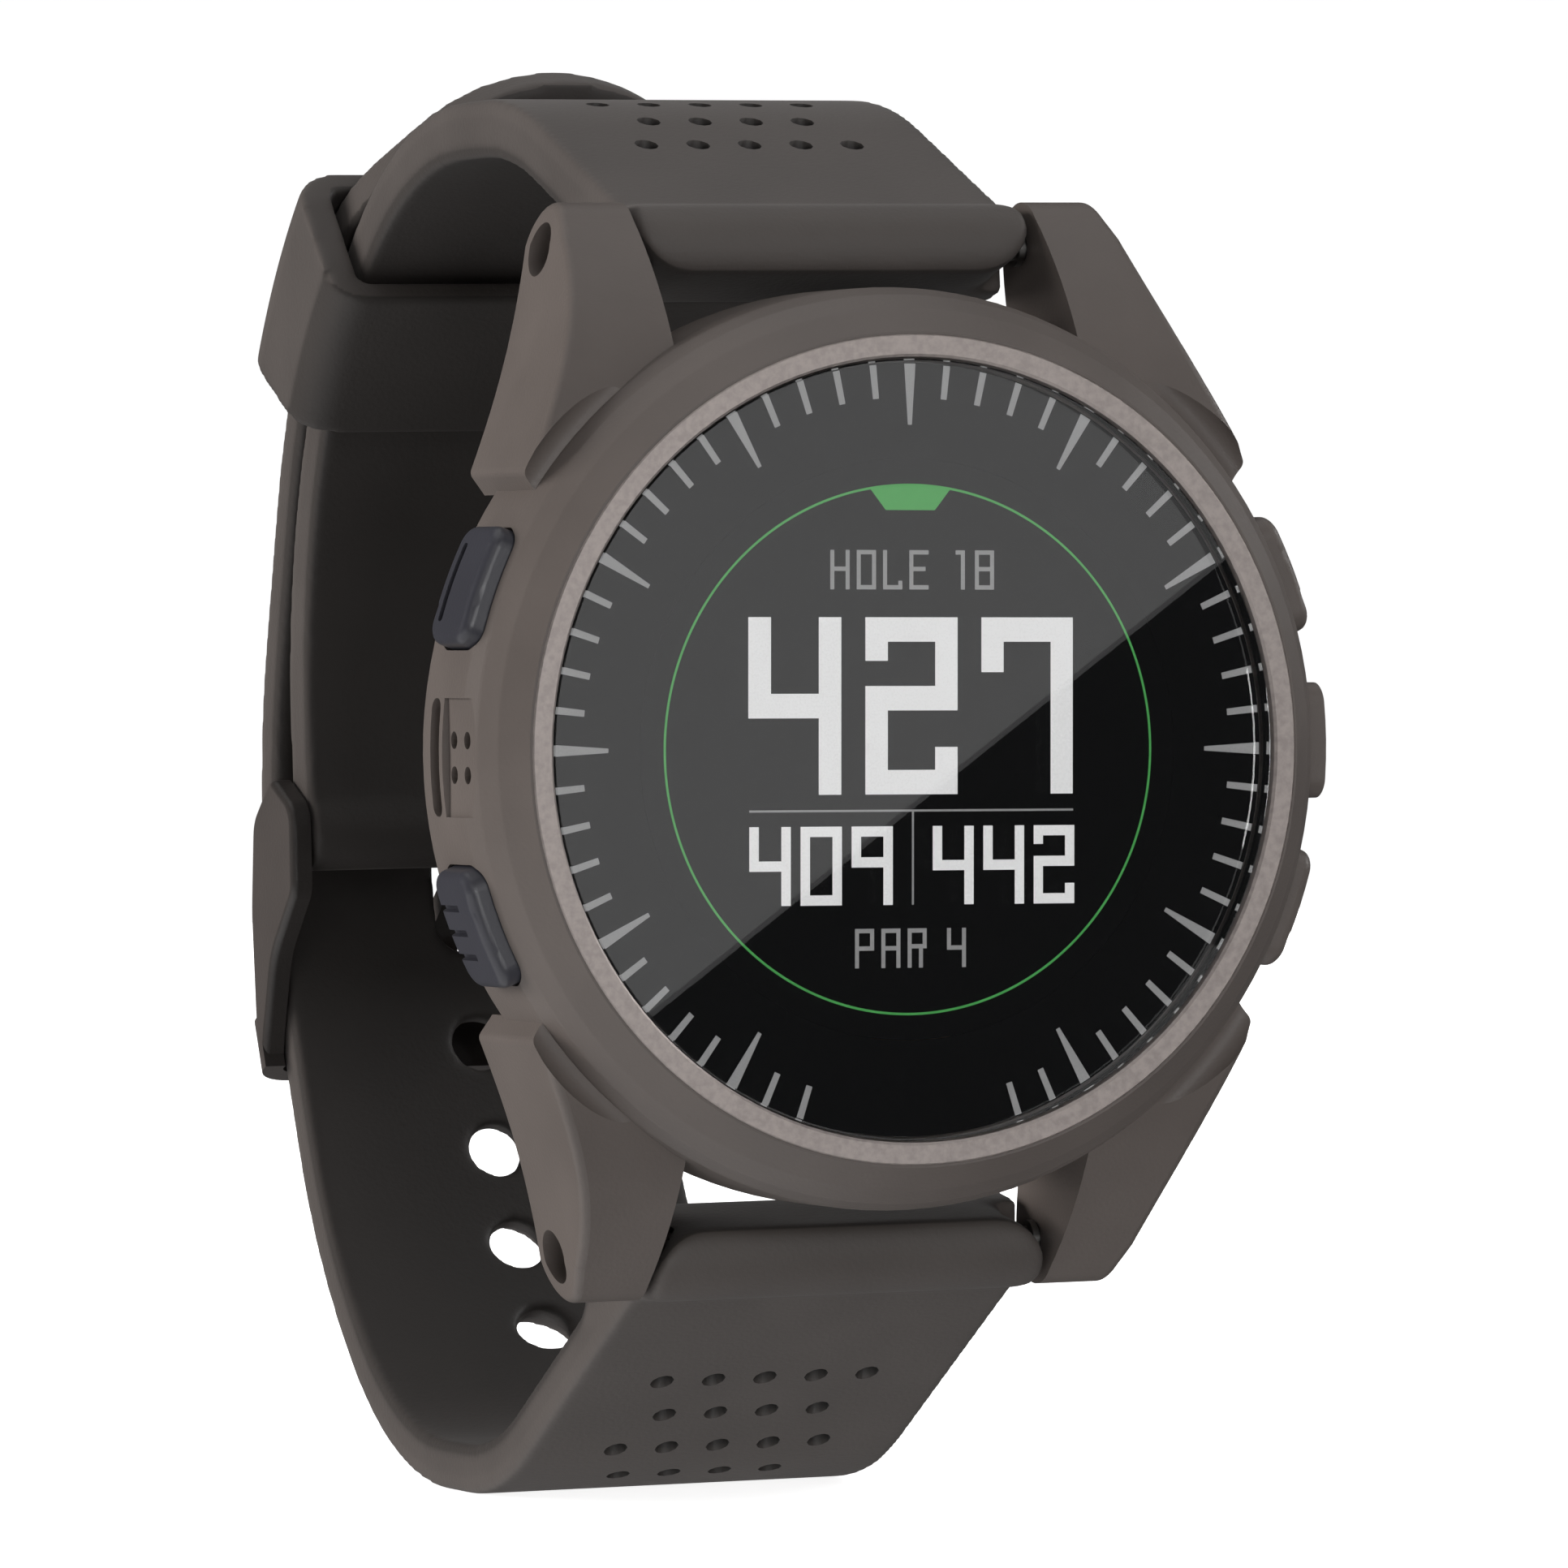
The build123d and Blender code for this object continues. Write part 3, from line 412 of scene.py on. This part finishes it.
def flat_shapes(name, outlines, place, material):
    """Flat convex shapes seen from the dial's front, each a list of (x, z), counter-clockwise."""
    points, faces = [], []
    for outline in outlines:
        first = len(points)
        points += [place(x, z) for x, z in outline]
        faces.append(list(range(first, first + len(outline))))
    return mesh_object(name, points, faces, material)


def turned(x, z, degrees):
    c, s = math.cos(math.radians(degrees)), math.sin(math.radians(degrees))
    return c * x - s * z, s * x + c * z


def bar(x_low, x_high, z_low, z_high):
    return [(x_low, z_low), (x_high, z_low), (x_high, z_high), (x_low, z_high)]


# ---------------------------------------------------------------- strap
def stretch_end(mesh, limit, shift):
    """Moves the flat end beyond a y limit further back, so that two halves meet."""
    for vertex in mesh.vertices:
        if vertex.co.y > limit:
            vertex.co.y += shift


def soft_copy(name, nodes, voxel=STRAP_VOXEL, rounds=STRAP_ROUNDS, joined=None):
    """One moulding made from CAD solids: rebuilt on a fine grid, with its edges eased round."""
    shell = bmesh.new()
    for node in nodes:
        mesh = NODES[node].data.copy()
        if node == joined:
            stretch_end(mesh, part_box(node)[1].y - END_DEPTH * MM, END_SHIFT * MM)
        shell.from_mesh(mesh)
        bpy.data.meshes.remove(mesh)
    bmesh.ops.remove_doubles(shell, verts=shell.verts, dist=MERGE_DISTANCE * MM)
    bmesh.ops.scale(shell, vec=(1 / MM,) * 3, verts=shell.verts)
    mesh = bpy.data.meshes.new(name)
    shell.to_mesh(mesh)
    shell.free()
    piece = add_to_scene(name, mesh)
    grid = piece.modifiers.new("grid", "REMESH")
    grid.mode = "VOXEL"
    grid.voxel_size = voxel
    ease = piece.modifiers.new("ease", "SMOOTH")
    ease.factor = EASE_FACTOR
    ease.iterations = rounds
    apply_modifiers(piece)
    piece.data.transform(Matrix.Scale(MM, 4))
    piece.data.materials.clear()
    piece.data.materials.append(MATERIALS["strap"])
    return piece


def add_bowl(bowls, centre):
    """One long ball, to cut a dimple with."""
    shape = Matrix.Translation(centre) @ Matrix.Diagonal((1, 1, DIMPLE_DEEP, 1))
    bmesh.ops.create_icosphere(bowls, subdivisions=2, radius=DIMPLE_R * MM, matrix=shape)


def surface_point(piece, x, y, direction):
    """Where a ray along +Z or -Z first meets the piece from outside."""
    start = Vector((x, y, RAY_START * direction))
    hit, point, _, _ = piece.ray_cast(start, Vector((0, 0, -direction)))
    return point if hit else None


def cut_dimples(piece, rows, direction):
    """Rows of small round dimples in the outer surface; each row is (y, count) in millimetres."""
    bowls = bmesh.new()
    for y, count in rows:
        for i in range(count):
            x = DIMPLE_PITCH * (i - (count - 1) / 2)
            point = surface_point(piece, x * MM, y * MM, direction)
            if point:
                add_bowl(bowls, point)
    mesh = bpy.data.meshes.new("dimple_cutter")
    bowls.to_mesh(mesh)
    bowls.free()
    cutter = add_to_scene("dimple_cutter", mesh)
    cut = piece.modifiers.new("cut", "BOOLEAN")
    cut.operation = "DIFFERENCE"
    cut.solver = "EXACT"
    cut.object = cutter
    apply_modifiers(piece)
    bpy.data.objects.remove(cutter)


def bend_over(piece, y):
    """Bakes the piece's placement into its mesh."""
    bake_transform(piece)


def strap():
    upper = soft_copy("upper_strap_skin", ["upper_strap_lug_end", "upper_strap"], joined="upper_strap_lug_end")
    cut_dimples(upper, UPPER_DIMPLES, 1)
    lower = soft_copy("lower_strap_skin", ["lower_strap_lug_end", "lower_strap"], joined="lower_strap_lug_end")
    cut_dimples(lower, LOWER_DIMPLES, -1)
    keeper = soft_copy("keeper_skin", ["keeper_loop"], voxel=KEEPER_VOXEL, rounds=KEEPER_ROUNDS)
    for piece in (upper, lower, keeper):
        smooth_shading(piece)
    bend_over(upper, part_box("upper_strap_lug_end")[1].y)
    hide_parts("upper_strap_lug_end", "upper_strap")
    bend_over(lower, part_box("lower_strap_lug_end")[1].y)
    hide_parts("lower_strap_lug_end", "lower_strap")
    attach(keeper, "keeper")
    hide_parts("keeper_loop")


# ---------------------------------------------------------------- dial graphics
# Each glyph is a list of strokes on a grid 2 wide and 4 high, as (x0, z0, x1, z1).
GLYPHS = {
    "0": [(0, 0, 2, 0), (2, 0, 2, 4), (0, 4, 2, 4), (0, 0, 0, 4)],
    "1": [(0.9, 4, 1.6, 4), (1.6, 0, 1.6, 4)],
    "2": [(0, 3.5, 0, 4), (0, 4, 2, 4), (2, 2.2, 2, 4), (0, 2.2, 2, 2.2), (0, 0, 0, 2.2), (0, 0, 2, 0),
          (2, 0, 2, 0.6)],
    "4": [(0, 2.0, 0, 4), (0, 2.0, 2, 2.0), (2, 0, 2, 4)],
    "7": [(0, 3.2, 0, 4), (0, 4, 2, 4), (2, 0, 2, 4)],
    "8": [(0, 0, 2, 0), (0, 4, 2, 4), (0, 2.1, 2, 2.1), (0, 0, 0, 4), (2, 0, 2, 4)],
    "9": [(0, 2.2, 0, 4), (0, 4, 2, 4), (0, 2.2, 2, 2.2), (2, 0, 2, 4)],
    "H": [(0, 0, 0, 4), (2, 0, 2, 4), (0, 2.1, 2, 2.1)],
    "O": [(0, 0, 2, 0), (2, 0, 2, 4), (0, 4, 2, 4), (0, 0, 0, 4)],
    "L": [(0, 0, 0, 4), (0, 0, 2, 0), (2, 0, 2, 0.5)],
    "E": [(0, 0, 0, 4), (0, 0, 2, 0), (0, 4, 2, 4), (0, 2.1, 1.6, 2.1)],
    "P": [(0, 0, 0, 4), (0, 4, 2, 4), (2, 2.0, 2, 4), (0, 2.0, 2, 2.0)],
    "A": [(0, 0, 0, 4), (0, 4, 2, 4), (2, 0, 2, 4), (0, 2.0, 2, 2.0)],
    "R": [(0, 0, 0, 4), (0, 4, 2, 4), (2, 2.2, 2, 4), (0, 2.2, 2, 2.2), (1.5, 0, 1.5, 2.2)],
}
# Each line of glyphs: piece name, text, left, foot, (width, height) of a glyph, pitch, stroke, ink.
LINES = [
    ("distance_centre", "427", -8.0, -2.05, (4.6, 8.1), 5.79, 1.12, DIGIT_INK),
    ("distance_front", "409", -7.95, -7.1, (2.05, 3.6), 2.53, 0.47, DIGIT_INK),
    ("distance_back", "442", 1.15, -7.1, (2.05, 3.6), 2.53, 0.47, DIGIT_INK),
    ("hole_line", "HOLE 18", -3.95, 7.32, (0.96, 1.8), 1.31, 0.2, WORD_INK),
    ("par_line", "PAR 4", -2.72, -9.98, (0.95, 1.8), 1.31, 0.2, WORD_INK),
]


def glyph_bars(glyph, left, foot, width, height, stroke):
    """The strokes of a glyph as bars that stay inside its width and height."""
    across = (width - stroke) / 2
    up = (height - stroke) / 4
    bars = []
    for x0, z0, x1, z1 in GLYPHS[glyph]:
        x_low, x_high = left + x0 * across, left + x1 * across + stroke
        z_low, z_high = foot + z0 * up, foot + z1 * up + stroke
        bars.append(bar(x_low, x_high, z_low, z_high))
    return bars


def merged(bars):
    """The area the bars cover, cut into cells that do not overlap."""
    xs = sorted({x for outline in bars for x, _ in outline})
    zs = sorted({z for outline in bars for _, z in outline})
    cells = []
    for x0, x1 in zip(xs, xs[1:]):
        for z0, z1 in zip(zs, zs[1:]):
            x, z = (x0 + x1) / 2, (z0 + z1) / 2
            if any(b[0][0] < x < b[2][0] and b[0][1] < z < b[2][1] for b in bars):
                cells.append(bar(x0, x1, z0, z1))
    return cells


def line_cells(text, left, foot, size, pitch, stroke):
    """The cells of a line of glyphs."""
    cells = []
    x = left
    for glyph in text:
        if glyph != " ":
            cells += merged(glyph_bars(glyph, x, foot, *size, stroke))
        x += pitch if glyph != " " else pitch * SPACE_WIDTH
    return cells


def tick(index):
    """A tapered minute tick; index counts minutes clockwise from 12 o'clock."""
    length, outer, inner = LONG_TICK if index % 5 == 0 else SHORT_TICK
    corners = [
        (-outer / 2, TICK_OUTER),
        (-inner / 2, TICK_OUTER - length),
        (inner / 2, TICK_OUTER - length),
        (outer / 2, TICK_OUTER),
    ]
    return [turned(x, z, -MINUTE_TURN * index) for x, z in corners]


def ring_pieces(radius, line):
    inner, outer = radius - line / 2, radius + line / 2
    quads = []
    for i in range(RING_STEPS):
        a, b = (2 * math.pi * k / RING_STEPS for k in (i, i + 1))
        corners = ((inner, a), (outer, a), (outer, b), (inner, b))
        quads.append([(r * math.cos(t), r * math.sin(t)) for r, t in corners])
    return quads


def ring_solid(name, inner, outer, y_front, y_back, material):
    """A flat closed ring round the Y axis."""
    steps = PRINT_STEPS
    points = []
    for radius, y in ((inner, y_front), (outer, y_front), (outer, y_back), (inner, y_back)):
        points += [(x, y, z) for x, z in (turned(radius, 0, 360 * i / steps) for i in range(steps))]
    faces = []
    for side in range(4):
        after = (side + 1) % 4
        for i in range(steps):
            nxt = (i + 1) % steps
            faces.append([side * steps + i, side * steps + nxt, after * steps + nxt, after * steps + i])
    return mesh_object(name, points, faces, material)


def dial():
    ink_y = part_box("lens")[1].y / MM + INK_GAP
    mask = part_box("printed_mask")[1]
    limits = (mask.x / MM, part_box("display_panel")[0].y / MM, mask.y / MM)
    print_ring = ring_solid("dial_print", DISPLAY_EDGE, *limits, MATERIALS["print"])
    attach(print_ring, "case")
    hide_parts("printed_mask")

    def place(x, z):
        x, z = turned(x, z, DIAL_TURN)
        return x, ink_y, z

    ticks = [tick(i) for i in range(60) if i not in MISSING_TICKS]
    pieces = [
        flat_shapes("minute_ticks", ticks, place, TICK_INK),
        flat_shapes("green_ring", ring_pieces(RING_R, RING_LINE), place, RING_INK),
        flat_shapes("north_marker", [NORTH_MARKER], place, RING_INK),
    ]
    for name, *layout, line_ink in LINES:
        pieces.append(flat_shapes(name, line_cells(*layout), place, line_ink))
    pieces.append(flat_shapes("rules", [bar(*RULE_ACROSS), bar(*RULE_UPRIGHT)], place, WORD_INK))
    for piece in pieces:
        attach(piece, "case")


strap()
dial()


# ---------------------------------------------------------------- camera
def camera_axes():
    yaw, pitch, roll = (math.radians(a) for a in (CAMERA_YAW, CAMERA_PITCH, CAMERA_ROLL))
    forward = Vector((math.sin(yaw) * math.cos(pitch), math.cos(yaw) * math.cos(pitch), -math.sin(pitch)))
    level = Vector((math.cos(yaw), -math.sin(yaw), 0))
    above = level.cross(forward)
    right = level * math.cos(roll) - above * math.sin(roll)
    up = level * math.sin(roll) + above * math.cos(roll)
    return right, up, forward


def dial_centre():
    return Vector((0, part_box("bezel_ring")[0].y, 0))


def make_camera():
    right, up, forward = camera_axes()
    data = bpy.data.cameras.new("camera")
    camera = add_to_scene("camera", data)
    offset = right * CAMERA_SIDE + up * CAMERA_DROP + forward * CAMERA_DISTANCE
    camera.location = dial_centre() - offset * MM
    camera.rotation_mode = "QUATERNION"
    camera.rotation_quaternion = Matrix((right, up, -forward)).transposed().to_quaternion()
    data.sensor_width = SENSOR_WIDTH
    data.lens = FOCAL_PIXELS / IMAGE_SIZE * data.sensor_width
    data.clip_start, data.clip_end = CLIP
    bpy.context.scene.camera = camera
    return camera


# ---------------------------------------------------------------- studio
def area_light(name, place, aim, size, power, colour=WHITE):
    data = bpy.data.lights.new(name, "AREA")
    data.shape = "RECTANGLE"
    data.size, data.size_y = size
    data.energy = power
    data.color = colour
    light = bpy.data.objects.new(name, data)
    light.location = place
    light.rotation_mode = "QUATERNION"
    light.rotation_quaternion = (Vector(aim) - Vector(place)).to_track_quat("-Z", "Y")
    light.visible_camera = False
    bpy.context.scene.collection.objects.link(light)
    return light


def reflected(camera, x, z):
    """The direction in which the camera sees the room, reflected at a point of the glass."""
    point = Vector((x * MM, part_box("lens")[0].y, z * MM))
    ray = (point - camera.location).normalized()
    return point, Vector((ray.x, -ray.y, ray.z))


def glare_card(camera):
    """A dim softbox whose edge is mirrored across the glass from upper right to lower left."""
    centre, normal = reflected(camera, 0, 0)
    card_point = centre + normal * CARD_DISTANCE
    ends = []
    for x, z in GLARE_EDGE:
        start, ray = reflected(camera, x, z)
        ends.append(start + ray * ((card_point - start).dot(normal) / ray.dot(normal)))
    along = (ends[0] - ends[1]).normalized()
    inward = normal.cross(along)
    if inward.z < 0:
        inward = -inward
    middle = (ends[0] + ends[1]) / 2 + inward * CARD_SIZE / 2
    light = area_light("glare_card", middle, middle - normal, (CARD_SIZE, CARD_SIZE), CARD_POWER)
    light.rotation_quaternion = Matrix((along, normal.cross(along), normal)).transposed().to_quaternion()


def make_lights(camera):
    for name, place, size, power, colour, mirrored in LIGHTS:
        light = area_light(name, place, LIGHT_AIM, size, power, colour)
        light.visible_glossy = mirrored
    glare_card(camera)


def floor_material():
    material, nodes, links = new_material("floor_paper")
    shader = nodes["Principled BSDF"]
    tone = ramp(nodes, links, noise(nodes, links, FLOOR_SCALE).outputs["Fac"], *FLOOR_GREY)
    links.new(tone.outputs["Color"], shader.inputs["Base Color"])
    links.new(tone.outputs["Color"], shader.inputs["Emission Color"])
    shader.inputs["Emission Strength"].default_value = FLOOR_GLOW
    shader.inputs["Roughness"].default_value = FLOOR_ROUGHNESS
    return material


def backdrop_material():
    material, nodes, links = new_material("backdrop_white")
    shader = nodes["Principled BSDF"]
    shader.inputs["Base Color"].default_value = (0, 0, 0, 1)
    shader.inputs["Emission Color"].default_value = (1, 1, 1, 1)
    shader.inputs["Emission Strength"].default_value = 1.0
    return material


def disc_points(radius, z):
    return [(*turned(radius, 0, 360 * i / ROUND_STEPS), z) for i in range(ROUND_STEPS)]


def make_stage():
    """A pale floor and a white wall far round it, which only the camera sees."""
    ground = cad_box[0].z / MM
    floor = mesh_object("floor", disc_points(FLOOR_R, ground), [list(range(ROUND_STEPS))], floor_material())
    foot, top = disc_points(BACKDROP_R, ground - BACKDROP_FOOT), disc_points(BACKDROP_R, BACKDROP_TOP)
    sides = []
    for i in range(ROUND_STEPS):
        after = (i + 1) % ROUND_STEPS
        sides.append([i, after, ROUND_STEPS + after, ROUND_STEPS + i])
    backdrop = mesh_object("backdrop", foot + top, sides, backdrop_material())
    for piece in (floor, backdrop):
        for ray in ("visible_diffuse", "visible_glossy", "visible_transmission", "visible_shadow"):
            setattr(piece, ray, False)


def make_world():
    world = bpy.data.worlds.new("studio")
    bpy.context.scene.world = world
    world.use_nodes = True
    background = world.node_tree.nodes["Background"]
    background.inputs["Color"].default_value = WORLD_COLOUR
    background.inputs["Strength"].default_value = WORLD_STRENGTH


camera = make_camera()
make_stage()
make_world()
make_lights(camera)
bpy.context.scene.view_settings.view_transform = "Standard"
